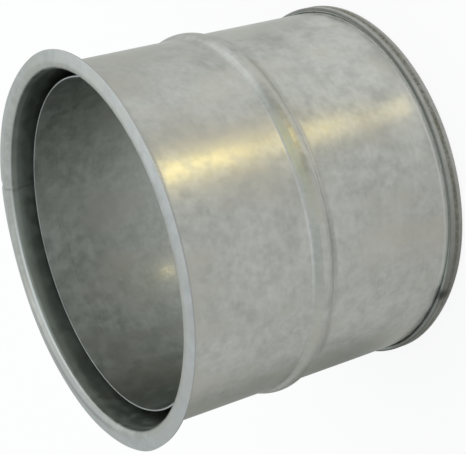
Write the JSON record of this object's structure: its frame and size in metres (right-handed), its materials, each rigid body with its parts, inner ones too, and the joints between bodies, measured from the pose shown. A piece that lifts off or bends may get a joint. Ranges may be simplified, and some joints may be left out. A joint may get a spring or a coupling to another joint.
{
  "type": "flue wall sleeve",
  "caption": "Double-walled round sheet-metal sleeve with an outward lip, a raised bead and a folded rear seam; it lines a chimney wall and takes a flue pipe in its ring gap.",
  "frame": {"origin": "on the axis, in the plane of the rear face that the sleeve stands on", "axes": "+Z along the axis, from the seamed rear end to the open mouth with the lip; +Y through the outer sleeve's weld"},
  "size_m": [0.1542, 0.1542, 0.1221],
  "materials": {
    "outer_sheet": "hot-dip aluminised, cloudy satin grey",
    "inner_sheet": "hot-dip aluminised, cloudy satin grey, scuffed on the rear seam"
  },
  "bodies": {
    "root": {"outer_sleeve": "outer_sheet", "inner_sleeve": "inner_sheet"}
  },
  "joints": []
}
